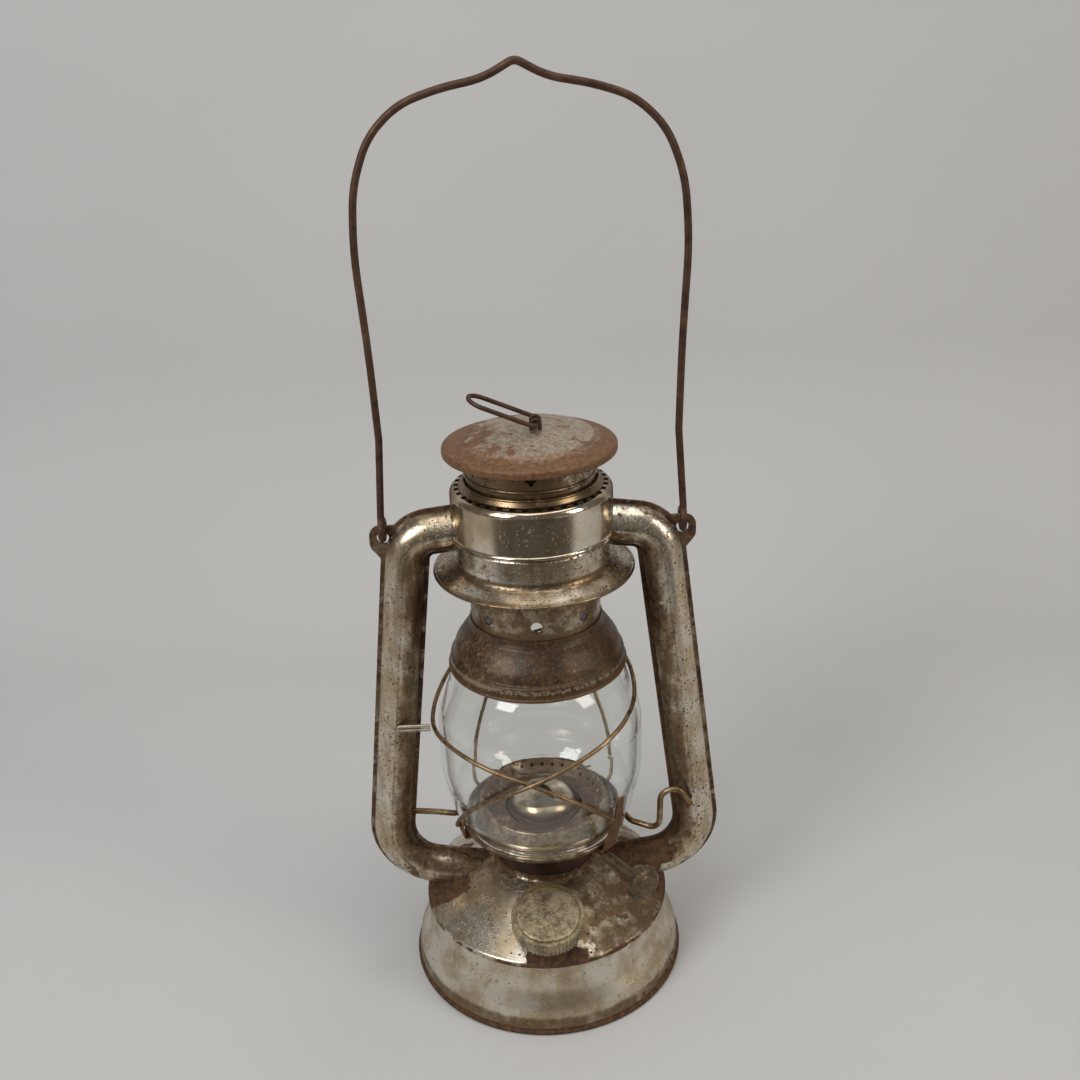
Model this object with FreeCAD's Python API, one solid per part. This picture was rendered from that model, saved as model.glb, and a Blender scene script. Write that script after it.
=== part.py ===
"""Flat-wick cold-blast hurricane lantern, with a bail, a lifting globe and two air tubes.

Millimetres, +Z up. The origin is the centre of the foot on the ground, the air tubes
lie in the XZ plane and the filler cap faces -Y.
"""
import FreeCAD, Part
import os
from math import acos, asin, atan2, cos, degrees, hypot, pi, radians, sin, sqrt, tan

V = FreeCAD.Vector
UP = V(0, 0, 1)

# Sheet metal and running clearances
sheet = 0.6
thin_sheet = 0.5
seat_gap = 0.3
shaft_fit = 0.05

# Tank
foot_radius = 60.0
foot_rim_height = 2.4
foot_rim_width = 2.6
foot_band_inset = 2.0
foot_band_height = 10.5
waist_radius = 53.6
waist_height = 19.5
shoulder_radius = 52.9
shoulder_height = 32.6
lap_depth = 2.0
dome_mid_radius = 38.5
dome_mid_height = 42.0
neck_height = 50.3
neck_lip = 2.2
pan_height = 8.0
pan_flange = 4.6
pan_step_radius = 34.0
pan_step = 1.2

# Air chamber sunk in the tank
drum_radius = 21.8
drum_floor = 33.0
drum_top = 73.8
drum_lip = 1.4

# Filler
filler_tilt = 15.0
cap_face_y = -45.0
cap_face_z = 52.6
cap_radius = 15.3
cap_skirt = 6.6
cap_face_radius = 13.4
cap_face_rise = 1.6
cap_wall_top = 1.2
cap_knurls = 56
knurl_depth = 0.55
neck_radius = 10.0
neck_length = 14.6
cap_play = 0.4
gasket_thickness = 1.6
gasket_bore = 5.0
thread_lead = 4.0

# Crown
crown_joint = 205.6
crown_height = 19.6
crown_radius = 31.9
crown_shoulder = 3.0
crown_bead = 0.8
crown_teeth = 38
tooth_width = 2.4
tooth_length = 1.8
crown_collar_height = 2.2
bell_height = 11.7
brim_radius = 40.3
brim_drop = 3.5
brim_bead = 0.7
joint_overlap = 3.8
sleeve_clear = 1.1
sleeve_lift = 2.6

# Air tubes
tube_radius = 8.2
flange_width = 1.5
tube_top_x = 49.9
tube_top_drop = 0.8
tube_top_slope = 7.0
tube_top_bend = 12.0
tube_low_x = 68.9
tube_low_z = 47.3
tube_low_slope = 9.0
tube_low_bend = 22.3

# Ears for the bail
ear_width = 14.7
ear_rise = 4.4
ear_drop = 15.3
ear_hole = 5.0

# Bail, with the corners of its right half in x and in height over its pivot
bail_wire = 2.8
bail_pivot_rise = 2.9
bail_hook_radius = 4.0
bail_eye_x = 59.2
bail_bow = [(57.1, 37.3), (57.9, 70.3), (60.0, 108.3), (58.2, 130.3),
            (51.8, 146.6), (40.7, 157.0), (26.0, 161.8), (11.0, 164.4)]
bail_knee_bend = 22.0
bail_peak_rise = 170.3
bail_peak_bend = 4.0

# Chimney
chimney_radius = 26.3
neck_step = 1.0
neck_inset = 2.4
flue_overlap = 9.0
vent_count = 8
vent_diameter = 4.5
vent_drop = 15.5
exhaust_count = 6
exhaust_low_drop = 7.7
exhaust_high_drop = 1.3
exhaust_half_width = 5.2
neck_bead_rise = 5.2
neck_bead = 0.7
collar_clear = 0.5

# Globe cap
cap_rim_radius = 36.8
cap_rim_drop = 13.5
cap_rim_bead = 0.8
cap_ledge_width = 1.2
cap_ledge_rise = 5.2
cap_side_radius = 33.6
cap_side_drop = 3.9
cap_shoulder_radius = 30.0
cap_shoulder_rise = 1.4
cap_collar_rise = 7.6

# Hood
hood_radius = 33.9
hood_lift = 14.9
hood_band = 1.5
hood_disc_radius = 25.0
hood_disc_rise = 4.8
hood_peak_rise = 7.1

# Hood ring and its staple
ring_wire = 1.8
ring_length = 27.0
ring_half_width = 6.4
ring_lean = 23.0
ring_pivot_x = 2.6
ring_pivot_rise = 2.2
staple_wire = 1.4

# Globe plate
plate_radius = 36.0
plate_bead = 0.9
plate_rim_z = 71.4
trough_radius = 34.4
trough_z = 69.6
riser_radius = 30.2
bowl_radius = 27.4
bowl_top = 79.6
bowl_lip = 1.5
bowl_floor_radius = 22.8
bowl_floor_z = 74.4
plate_hole = 17.0
bowl_holes = 32
bowl_hole = 1.8

# Globe
glass_wall = 2.0
glass_foot_radius = 33.0
glass_max_radius = 42.9
glass_low_z = 98.0
glass_high_z = 123.0
glass_top_radius = 29.8
glass_top_z = 161.4

# Guard wires
guard_wire = 1.8
guard_gap = 0.4
guard_seat = 0.1
guard_foot_gap = 0.4
guard_step = 16.0
guide_wire = 1.4
guide_reach = 13.4
guide_height = 121.3
guide_pitch = 1.9
lug_width = 6.4
lug_tip = 2.6
catch_width = 8.0
catch_tip = 3.6
catch_height = 29.0
plate_catch_azimuth = -44.0
guard_lug_azimuth = -160.5
guard_lug_eye = 73.8

# Lift lever
lever_wire = 2.6
lever_pivot_x = -57.0
lever_pivot_z = 73.0
lever_hole_play = 0.35
lever_drum_gap = 3.0
lever_contact_x = 33.5
lever_tube_gap = 0.8
hook_x = 50.2
hook_width = 8.3
hook_height = 20.6

# Burner
burner_radius = 15.4
basket_floor = 57.0
basket_top = 73.4
cone_skirt = 3.4
cone_shoulder_radius = 13.0
cone_shoulder_z = 79.6
cone_top = 83.4
slot_length = 15.0
slot_width = 3.6
collar_radius = 11.0
collar_height = 5.0
plug_flange = 13.0
plug_flange_height = 1.6

# Wick, its tube and its drive
wick_width = 12.4
wick_thickness = 2.4
wick_bottom = 14.5
wick_top = 79.5
wick_play = 0.3
wick_tube_bottom = 30.0
wick_tube_top = 78.0
shaft_azimuth = -54.0
shaft_offset = 4.6
shaft_slope = -1.5
shaft_height = 64.7
shaft_diameter = 2.6
knob_reach = 60.5
knob_radius = 7.4
knob_thickness = 5.5
knob_hub_radius = 2.4
knob_hub_reach = 37.0
knob_flutes = 24
knob_socket = 2.4
shaft_overrun = 2.0
wheel_teeth = 9
wheel_width = 1.6
wheel_spacing = 3.2
cheek_offset = 6.4
cheek_width = 0.8

# Sizes that follow from the ones above
foot_band_radius = foot_radius - foot_band_inset
bell_bottom = crown_joint - bell_height
brim_height = bell_bottom - brim_drop
sleeve_floor = bell_bottom + sleeve_lift
crown_top_z = crown_joint + crown_height
tube_top_z = crown_joint - tube_top_drop
bail_pivot_z = tube_top_z + bail_pivot_rise
chimney_shoulder = brim_height - neck_inset
neck_bead_z = crown_top_z + neck_bead_rise
hood_rim_z = crown_top_z + hood_lift
hood_disc_z = hood_rim_z + hood_disc_rise
hood_peak_z = hood_rim_z + hood_peak_rise
ring_pivot_z = hood_peak_z + ring_pivot_rise
cap_rim_z = glass_top_z - cap_rim_drop
cap_collar_z = glass_top_z + cap_collar_rise
tube_bore = tube_radius - sheet
flange_reach = tube_radius + flange_width
chimney_neck = chimney_radius - neck_step
sleeve_radius = chimney_radius + sleeve_clear
collar_radius_top = chimney_neck + collar_clear
wheel_radius = shaft_offset - wick_thickness / 2 - shaft_fit
shaft_dir = V(cos(radians(shaft_azimuth)), sin(radians(shaft_azimuth)), 0)
shaft_side = V(-shaft_dir.y, shaft_dir.x, 0)


def polar(radius, azimuth, height):
    """Point at a radius and an azimuth in degrees from +X."""
    return V(radius * cos(radians(azimuth)), radius * sin(radians(azimuth)), height)


def unit(vector):
    return V(vector).normalize()


def path_edges(corners, closed=False):
    """Straight runs joined by tangent arcs, from (point, radius) corners."""
    count = len(corners)
    stations = []
    for index, (point, radius) in enumerate(corners):
        at_end = not closed and index in (0, count - 1)
        if at_end or radius <= 0:
            stations.append([point])
            continue
        back = unit(corners[index - 1][0] - point)
        ahead = unit(corners[(index + 1) % count][0] - point)
        half = back.getAngle(ahead) / 2
        if half > pi / 2 - 1e-4:
            stations.append([point])
            continue
        reach = radius / tan(half)
        centre = point + unit(back + ahead) * (radius / sin(half))
        middle = centre + unit(point - centre) * radius
        stations.append([point + back * reach, middle, point + ahead * reach])
    edges = []
    last = count if closed else count - 1
    for index, station in enumerate(stations):
        if len(station) == 3:
            edges.append(Part.Arc(*station).toShape())
        if index < last:
            start = station[-1]
            end = stations[(index + 1) % count][0]
            if start.distanceToPoint(end) > 1e-6:
                edges.append(Part.LineSegment(start, end).toShape())
    return edges


def eased(points, share=0.45):
    """Corners whose arcs are as large as the runs beside them allow."""
    corners = [(points[0], 0)]
    for before, point, after in zip(points, points[1:], points[2:]):
        shorter = min(point.distanceToPoint(before), point.distanceToPoint(after))
        half_turn = (pi - (before - point).getAngle(after - point)) / 2
        corners.append((point, share * shorter / tan(half_turn)))
    corners.append((points[-1], 0))
    return corners


def rod(corners, diameter):
    """Round wire along a path of corners."""
    start = corners[0][0]
    circle = Part.Wire(Part.makeCircle(diameter / 2, start, corners[1][0] - start))
    path = Part.Wire(path_edges(corners))
    return path.makePipeShell([circle], True, False)


def loop_face(points):
    """Face in the XZ plane from (x, z, radius) corners."""
    corners = [(V(x, 0, z), radius) for x, z, radius in points]
    return Part.Face(Part.Wire(path_edges(corners, True)))


def turned(points):
    """Solid of revolution about Z of a closed profile of (r, z, radius) corners."""
    return loop_face(points).revolve(V(0, 0, 0), UP, 360)


def offset_chain(chain, thickness):
    """The chain moved to its left by the thickness, with its bend radii to match."""
    normals = []
    for (r1, z1, _), (r2, z2, _) in zip(chain, chain[1:]):
        length = hypot(r2 - r1, z2 - z1)
        normals.append((-(z2 - z1) / length, (r2 - r1) / length))
    moved = []
    for index, (r, z, radius) in enumerate(chain):
        before = normals[max(index - 1, 0)]
        after = normals[min(index, len(normals) - 1)]
        scale = thickness / (1 + before[0] * after[0] + before[1] * after[1])
        left_turn = before[0] * after[1] - before[1] * after[0] > 0
        inner = radius - thickness if left_turn else radius + thickness
        moved.append((r + (before[0] + after[0]) * scale,
                      z + (before[1] + after[1]) * scale,
                      max(inner, 0) if radius > 0 else 0))
    return moved


def pressed(chain, thickness=sheet):
    """Turned sheet whose surface is the chain, with its thickness to the left of it."""
    return turned(chain + offset_chain(chain, thickness)[::-1])


def ring(inner, outer, bottom, top):
    """Plain annulus."""
    return turned([(inner, bottom, 0), (outer, bottom, 0), (outer, top, 0), (inner, top, 0)])


def bead(radius, height, section):
    """Rolled wire edge."""
    return Part.makeTorus(radius, section, V(0, 0, height))


def mirrored(shape):
    """Copy on the other side of the YZ plane."""
    return shape.mirror(V(0, 0, 0), V(1, 0, 0))


def turned_copies(tool, count, first=0.0):
    """Copies of a tool spread evenly round Z."""
    copies = []
    for index in range(count):
        copy = tool.copy()
        copy.rotate(V(0, 0, 0), UP, first + index * 360.0 / count)
        copies.append(copy)
    return copies


def toothed_prism(teeth, outer, depth, height, base, axis):
    """Prism with V-shaped teeth on its rim, from its base point along an axis."""
    points = []
    for index in range(teeth * 2):
        radius = outer if index % 2 == 0 else outer - depth
        points.append(polar(radius, index * 180.0 / teeth, 0))
    points.append(points[0])
    prism = Part.Face(Part.makePolygon(points)).extrude(V(0, 0, height))
    return placed(prism, base, axis)


def placed(shape, base, axis):
    """Shape moved from the origin to a base point, with its Z axis along an axis."""
    shape.Placement = FreeCAD.Placement(base, FreeCAD.Rotation(UP, axis)).multiply(shape.Placement)
    return shape


# Tank

def foot_wall_chain():
    """Outer surface of the tank wall, from the foot rim up to the shoulder."""
    return [(foot_radius - 0.8, foot_rim_height - 0.6, 0),
            (foot_band_radius, foot_band_height, 14),
            (waist_radius, waist_height, 16),
            (shoulder_radius, shoulder_height - 2 * lap_depth, 10),
            (shoulder_radius, shoulder_height - lap_depth / 2, 0)]


def tank_shell():
    """Flared wall with a rolled foot that is flat underneath."""
    wall = pressed(foot_wall_chain())
    rim = turned([(foot_radius - foot_rim_width, 0, 0.8),
                  (foot_radius, 0, 1.1),
                  (foot_radius, foot_rim_height, 1.1),
                  (foot_radius - foot_rim_width, foot_rim_height, 0.8)])
    return wall.fuse(rim)


def wall_inside(height):
    """Inner radius of the lower, straight part of the tank wall."""
    low, band = foot_wall_chain()[:2]
    slope = (band[0] - low[0]) / (band[1] - low[1])
    return low[0] + (height - low[1]) * slope - sheet * hypot(1, slope)


def tank_bottom():
    """Pan pressed up inside the foot, with a raised centre."""
    flange_foot = pan_height - pan_flange
    chain = [(wall_inside(flange_foot), flange_foot, 0),
             (wall_inside(pan_height), pan_height, 0.7),
             (pan_step_radius + 1.5, pan_height, 1),
             (pan_step_radius, pan_height + pan_step, 1),
             (0, pan_height + pan_step, 0)]
    return pressed(chain)


def dome_chain():
    """Outer surface of the tank top, from the lap at its shoulder to the neck."""
    lap_radius = shoulder_radius + sheet
    return [(lap_radius, shoulder_height - lap_depth, 0),
            (lap_radius, shoulder_height, 1.4),
            (dome_mid_radius, dome_mid_height, 60),
            (drum_radius + sheet, neck_height, 1.6),
            (drum_radius + sheet, neck_height + neck_lip, 0)]


def filler_axis():
    return V(0, -sin(radians(filler_tilt)), cos(radians(filler_tilt)))


def filler_point(depth):
    """Point on the filler axis, so far below the cap's face."""
    return V(0, cap_face_y, cap_face_z) - filler_axis() * depth


def neck_mouth():
    """Depth of the filler neck's mouth below the cap's face."""
    return cap_face_rise + cap_wall_top + gasket_thickness


def tank_top(tube_solids):
    """Domed top with a lap, an upturned neck, a filler hole and holes for the tubes."""
    dome = pressed(dome_chain())
    hole = Part.makeCylinder(neck_radius, 3 * neck_length, filler_point(3 * neck_length), filler_axis())
    return dome.cut([hole] + tube_solids)


def filler_neck():
    """Short pipe soldered through the tank top."""
    foot = filler_point(neck_mouth() + neck_length)
    outer = Part.makeCylinder(neck_radius, neck_length, foot, filler_axis())
    bore = Part.makeCylinder(neck_radius - sheet, neck_length, foot, filler_axis())
    return outer.cut(bore)


def filler_cap():
    """Knurled screw cap with a raised face and a plain bore over the neck."""
    skirt_foot = filler_point(cap_face_rise + cap_skirt)
    body = toothed_prism(cap_knurls, cap_radius, knurl_depth, cap_skirt, skirt_foot, filler_axis())
    low = filler_point(cap_face_rise)
    face = turned([(0, 0, 0), (cap_face_radius, 0, 0), (cap_face_radius, cap_face_rise * 0.7, 1.0),
                   (0, cap_face_rise, 0)])
    bore_depth = cap_skirt - cap_wall_top
    bore = Part.makeCylinder(neck_radius + cap_play, bore_depth, skirt_foot, filler_axis())
    return body.fuse(placed(face, low, filler_axis())).cut(bore).removeSplitter()


def cap_gasket():
    """Cork washer between the cap and the neck."""
    foot = filler_point(neck_mouth())
    outer = Part.makeCylinder(neck_radius, gasket_thickness, foot, filler_axis())
    return outer.cut(Part.makeCylinder(gasket_bore, gasket_thickness, foot, filler_axis()))


# Air chamber and burner

def air_chamber(bores):
    """Drum that the tubes feed, sunk through the tank top."""
    chain = [(collar_radius - 1.5, drum_floor, 0),
             (drum_radius, drum_floor, 1.0),
             (drum_radius, drum_top, 0.9),
             (drum_radius - drum_lip, drum_top, 0)]
    shaft_hole = Part.makeCylinder(shaft_diameter / 2 + 0.7, 2 * drum_radius, shaft_point(0), shaft_axis())
    return pressed(chain).cut(bores + [shaft_hole])


def burner_collar():
    """Threaded seat on the chamber floor, drawn plain."""
    bottom = drum_floor + sheet
    return ring(collar_radius - 1.5, collar_radius, bottom, bottom + collar_height)


def wick_block(width, thickness, bottom, top):
    """Upright block in line with the wick."""
    block = Part.makeBox(width, thickness, top - bottom, V(-width / 2, -thickness / 2, bottom))
    block.rotate(V(0, 0, 0), UP, shaft_azimuth)
    return block


def tube_outer():
    return (wick_width + 2 * (wick_play + thin_sheet), wick_thickness + 2 * (wick_play + thin_sheet))


def burner_plug():
    """Plug that closes the chamber floor round the wick tube."""
    bottom = drum_floor + sheet
    top = bottom + collar_height
    inner = collar_radius - 1.5
    body = turned([(0, bottom - 1.2, 0), (inner, bottom - 1.2, 0), (inner, top, 0), (plug_flange, top, 0.5),
                   (plug_flange, top + plug_flange_height, 0.7), (0, top + plug_flange_height, 0)])
    return body.cut(wick_block(*tube_outer(), bottom - 5, top + 5))


def wick_tube():
    """Flat tube that guides the wick, with a window for the spur wheels."""
    outer = wick_block(*tube_outer(), wick_tube_bottom, wick_tube_top)
    inner_size = (wick_width + 2 * wick_play, wick_thickness + 2 * wick_play)
    inner = wick_block(*inner_size, wick_tube_bottom - 1, wick_tube_top + 1)
    window = Part.makeBox(2 * cheek_offset - 2, 4, 2 * wheel_radius + 2, V(1 - cheek_offset, 0.5, 0))
    window.rotate(V(0, 0, 0), UP, shaft_azimuth)
    window.translate(V(0, 0, shaft_height - wheel_radius - 1))
    return outer.cut([inner, window])


def shaft_axis():
    return shaft_dir * cos(radians(shaft_slope)) - UP * sin(radians(shaft_slope))


def shaft_point(reach):
    """Point on the shaft's axis at a horizontal reach from the burner's centre."""
    return shaft_side * shaft_offset + shaft_dir * reach + UP * (shaft_height - reach * tan(radians(shaft_slope)))


def knob_back():
    """Reach of the knob's back face."""
    return knob_reach - knob_thickness / 2


def wick_shaft():
    inner_end = -cheek_offset - shaft_overrun
    length = (knob_back() - inner_end) / cos(radians(shaft_slope)) + knob_socket
    return Part.makeCylinder(shaft_diameter / 2, length, shaft_point(inner_end), shaft_axis())


def spur_wheel(side):
    """Toothed wheel that drives the wick, on the shaft to one side of its middle."""
    start = shaft_point(side * wheel_spacing - wheel_width / 2)
    wheel = toothed_prism(wheel_teeth, wheel_radius, 0.9, wheel_width, start, shaft_axis())
    return wheel.cut(Part.makeCylinder(shaft_diameter / 2, wheel_width, start, shaft_axis()))


def wick_knob():
    """Fluted thumb wheel with a domed, ringed face and a long hub over the shaft."""
    face = knob_thickness
    body = turned([(0, 0, 0), (knob_radius - 1.2, 0, 0), (knob_radius, 0.9, 0.6),
                   (knob_radius, face - 1.6, 0.7), (knob_radius - 1.6, face - 0.6, 0.6),
                   (knob_radius - 2.4, face - 1.1, 0.4), (knob_radius - 3.2, face - 0.5, 0.5), (0, face, 0)])
    flute = Part.makeCylinder(0.5, face, V(knob_radius + 0.15, 0, 0))
    body = body.cut(turned_copies(flute, knob_flutes))
    hub_length = (knob_back() - knob_hub_reach) / cos(radians(shaft_slope))
    hub = Part.makeCylinder(knob_hub_radius, hub_length, V(0, 0, -hub_length))
    bore = Part.makeCylinder(shaft_diameter / 2, hub_length + knob_socket, V(0, 0, -hub_length))
    return placed(body.fuse(hub).cut(bore), shaft_point(knob_back()), shaft_axis())


def wheel_housing():
    """Two cheeks on the wick tube that carry the shaft."""
    near = tube_outer()[1] / 2
    cheeks = []
    for side in (-1, 1):
        cheek = Part.makeBox(cheek_width, shaft_offset + 2.2 - near, 2 * wheel_radius + 1.4,
                             V(side * cheek_offset - cheek_width / 2, near, 0))
        cheek.rotate(V(0, 0, 0), UP, shaft_azimuth)
        cheek.translate(V(0, 0, shaft_height - wheel_radius - 0.7))
        cheeks.append(cheek)
    hole = Part.makeCylinder(shaft_diameter / 2 + shaft_fit, 40, shaft_point(-20), shaft_axis())
    return Part.makeCompound([cheek.cut(hole) for cheek in cheeks])


def burner_basket():
    """Perforated cup round the wick tube that spreads the draught."""
    chain = [(0, basket_floor, 0), (burner_radius, basket_floor, 2.0), (burner_radius, basket_top, 0)]
    cup = pressed(chain)
    hole = Part.makeCylinder(1.1, 2 * burner_radius, V(0, 0, basket_floor + 4.5), V(1, 0, 0))
    shaft_hole = Part.makeCylinder(shaft_diameter / 2 + 0.5, 2 * burner_radius, shaft_point(4), shaft_axis())
    tools = turned_copies(hole, 20, 9)
    floor_hole = Part.makeCylinder(1.2, 3, V(burner_radius - 4, 0, basket_floor - 1))
    tools += turned_copies(floor_hole, 14)
    tools += [shaft_hole, wick_block(*tube_outer(), basket_floor - 3, basket_floor + 3)]
    return cup.cut(tools)


def burner_cone():
    """Domed deflector over the basket, with a slot for the flame."""
    outer = burner_radius + sheet
    chain = [(outer, basket_top + 0.8 - cone_skirt, 0),
             (outer, basket_top + 0.8, 0.7),
             (cone_shoulder_radius + 1.4, basket_top + 0.9, 0.7),
             (cone_shoulder_radius, cone_shoulder_z, 5.0),
             (cone_shoulder_radius - 10, cone_top, 6.0),
             (0, cone_top, 0)]
    return pressed(chain).cut(wick_block(slot_length, slot_width, cone_shoulder_z - 2, cone_top + 2))


def wick():
    return wick_block(wick_width, wick_thickness, wick_bottom, wick_top)


# Side tubes

def tube_corners():
    """Centre line of the right tube, from inside the crown to inside the drum."""
    crown_x = crown_radius - 4
    drum_x = drum_radius - 4
    crown_z = tube_top_z + (tube_top_x - crown_x) * tan(radians(tube_top_slope))
    drum_z = tube_low_z - (tube_low_x - drum_x) * tan(radians(tube_low_slope))
    return [(V(crown_x, 0, crown_z), 0),
            (V(tube_top_x, 0, tube_top_z), tube_top_bend),
            (V(tube_low_x, 0, tube_low_z), tube_low_bend),
            (V(drum_x, 0, drum_z), 0)]


def tube_sweep(outline):
    """Solid swept along the right tube from (in-plane, sideways) outline edges."""
    corners = tube_corners()
    start = corners[0][0]
    along = unit(corners[1][0] - start)
    across = V(along.z, 0, -along.x)
    edges = []
    for points in outline:
        placed_points = [start + across * u + V(0, 1, 0) * y for u, y in points]
        if len(points) == 3:
            edges.append(Part.Arc(*placed_points).toShape())
        else:
            edges.append(Part.LineSegment(*placed_points).toShape())
    path = Part.Wire(path_edges(corners))
    return path.makePipeShell([Part.Wire(edges)], True, False)


def tube_half(side):
    """Stamped half of the tube with a seam flange at each edge; side is -1 at the front."""
    edge = sqrt(tube_radius ** 2 - sheet ** 2)
    depth = side * sheet
    outline = [((tube_bore, 0), (flange_reach, 0)),
               ((flange_reach, 0), (flange_reach, depth)),
               ((flange_reach, depth), (edge, depth)),
               ((edge, depth), (0, side * tube_radius), (-edge, depth)),
               ((-edge, depth), (-flange_reach, depth)),
               ((-flange_reach, depth), (-flange_reach, 0)),
               ((-flange_reach, 0), (-tube_bore, 0)),
               ((-tube_bore, 0), (0, side * tube_bore), (tube_bore, 0))]
    return tube_sweep(outline)


def tube_bore_solid():
    circle = [((tube_bore, 0), (0, tube_bore), (-tube_bore, 0)),
              ((-tube_bore, 0), (0, -tube_bore), (tube_bore, 0))]
    return tube_sweep(circle)


def ear(side):
    """Flat ear on the outer seam of one tube half, with the hole for the bail."""
    low = tube_top_z - ear_drop
    high = tube_top_z + ear_rise
    tip = tube_top_x + ear_width
    outline = loop_face([(tube_top_x, low, 0), (tip - 6.1, low, 0), (tip - 5.1, low + 4.2, 3),
                         (tip, high - 9.0, 4.5), (tip, high, 4.4), (tube_top_x - 1.5, high, 0)])
    return outline.extrude(V(0, side * sheet, 0))


def ear_hole_tool():
    hole_z = bail_pivot_z - bail_hook_radius + seat_gap
    return Part.makeCylinder(ear_hole / 2, 2 * sheet, V(bail_eye_x, -sheet, hole_z), V(0, 1, 0))


def tube_halves(crown_parts):
    """Front and rear halves of the right tube, trimmed to the crown and the drum."""
    bore = tube_bore_solid()
    trims = [Part.makeCylinder(crown_radius, 60, V(0, 0, tube_top_z - 25)),
             Part.makeCylinder(drum_radius, 60, V(0, 0, tube_low_z - 40)),
             ear_hole_tool()]
    halves = []
    for side in (-1, 1):
        half = tube_half(side).fuse(ear(side).cut(bore))
        halves.append(half.cut(trims + crown_parts).removeSplitter())
    return halves


def lever_hole_tool():
    """Hole in the left tube's inner seam where the lever passes."""
    start = V(lever_pivot_x - 4, 0, lever_pivot_z)
    return Part.makeCylinder(lever_wire / 2 + lever_hole_play, 8, start, V(1, 0, 0))


# Crown

def crown_top():
    """Upper drum of the crown, with its ring of intake holes and the chimney collar."""
    chain = [(crown_radius, crown_joint, 0),
             (crown_radius, crown_top_z, crown_shoulder),
             (sleeve_radius + 0.4, crown_top_z, 0.7),
             (collar_radius_top + sheet + 0.2, crown_top_z + crown_collar_height, 0)]
    shell = pressed(chain)
    lower_bead = bead(crown_radius - 0.15, crown_joint + crown_bead, crown_bead)
    lower_bead = lower_bead.cut(Part.makeCylinder(crown_radius - sheet / 2, 10, V(0, 0, crown_joint - 5)))
    upper_bead = bead(collar_radius_top + sheet, crown_top_z + crown_collar_height, sheet)
    tooth = Part.makeBox(tooth_length, tooth_width, 4,
                         V(sleeve_radius + sheet + 0.3, -tooth_width / 2, crown_top_z - 2.4))
    shell = shell.fuse([lower_bead, upper_bead])
    return shell.cut(turned_copies(tooth, crown_teeth))


def crown_bell():
    """Lower drum with its spreading brim, joggled into the upper drum."""
    inner = crown_radius - sheet
    chain = [(brim_radius - brim_bead, brim_height, 0),
             (crown_radius, bell_bottom, 2.6),
             (crown_radius, crown_joint - 1.0, 0.4),
             (inner, crown_joint - 0.2, 0.4),
             (inner, crown_joint + joint_overlap, 0)]
    return pressed(chain).fuse(bead(brim_radius - brim_bead, brim_height - sheet / 2, brim_bead))


def crown_sleeve():
    """Inner wall of the crown's air space, with its floor and its seat for the spring."""
    chain = [(crown_radius - sheet, sleeve_floor, 0),
             (sleeve_radius, sleeve_floor, 0.9),
             (sleeve_radius, crown_top_z - 2 * sheet, 0),
             (collar_radius_top, crown_top_z - 2 * sheet, 0)]
    return pressed(chain, -sheet)


def chimney_spring():
    """Hidden coil spring round the chimney neck, drawn as its envelope."""
    bottom = chimney_shoulder + seat_gap
    top = crown_top_z - 2 * sheet - 0.1
    return ring(chimney_neck + seat_gap, sleeve_radius - seat_gap, bottom, top)


# Chimney

def chimney_tube():
    """Flue with vents below the crown and exhaust cuts under the hood."""
    chain = [(chimney_radius, cap_collar_z - flue_overlap, 0),
             (chimney_radius, chimney_shoulder, 0.7),
             (chimney_neck, chimney_shoulder, 0.4),
             (chimney_neck, hood_peak_z, 0)]
    tube = pressed(chain, thin_sheet).fuse(neck_ridge()).cut(space_above_hood())
    vent = Part.makeCylinder(vent_diameter / 2, 2 * chimney_radius, V(0, 0, brim_height - vent_drop), V(0, -1, 0))
    tools = turned_copies(vent, vent_count)
    low = hood_rim_z - exhaust_low_drop
    high = hood_rim_z - exhaust_high_drop
    cut = loop_face([(0, low, 0.6), (exhaust_half_width, high, 0.8), (-exhaust_half_width, high, 0.8)])
    cut = cut.extrude(V(0, -2 * chimney_radius, 0))
    return tube.cut(tools + turned_copies(cut, exhaust_count))


def neck_ridge():
    """Raised ring pressed round the neck."""
    ridge = bead(chimney_neck, neck_bead_z, neck_bead)
    return ridge.cut(Part.makeCylinder(chimney_neck - thin_sheet / 2, 8, V(0, 0, neck_bead_z - 4)))


def globe_cap():
    """Spun cap that sits on the globe and joins the flue."""
    collar = chimney_radius + sheet
    rim = cap_rim_radius - cap_rim_bead
    ledge = cap_rim_z + cap_ledge_rise
    chain = [(rim, cap_rim_z, 0),
             (rim - 0.3, ledge - 0.5, 1.0),
             (rim - 0.4 - cap_ledge_width, ledge + 0.5, 0.8),
             (cap_side_radius, glass_top_z - cap_side_drop, 8),
             (cap_shoulder_radius, glass_top_z + cap_shoulder_rise, 5),
             (collar + 0.7, cap_collar_z - 3.8, 2.0),
             (collar, cap_collar_z - 2, 1.5),
             (collar, cap_collar_z, 0)]
    return pressed(chain).fuse(bead(rim, cap_rim_z, cap_rim_bead))


def hood_chain():
    """Outer surface of the hood, from under its rolled rim to its centre."""
    return [(hood_radius - 1.6, hood_rim_z - hood_band - 0.5, 0),
            (hood_radius, hood_rim_z - hood_band, 0.9),
            (hood_radius, hood_rim_z + hood_band, 1.3),
            (hood_disc_radius + 1.0, hood_disc_z - 1.3, 1.5),
            (hood_disc_radius, hood_disc_z, 0.7),
            (ring_pivot_x + 8, hood_peak_z, 30),
            (0, hood_peak_z, 0)]


def hood():
    """Shallow lid with a rolled rim and a raised centre disc."""
    return pressed(hood_chain())


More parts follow.
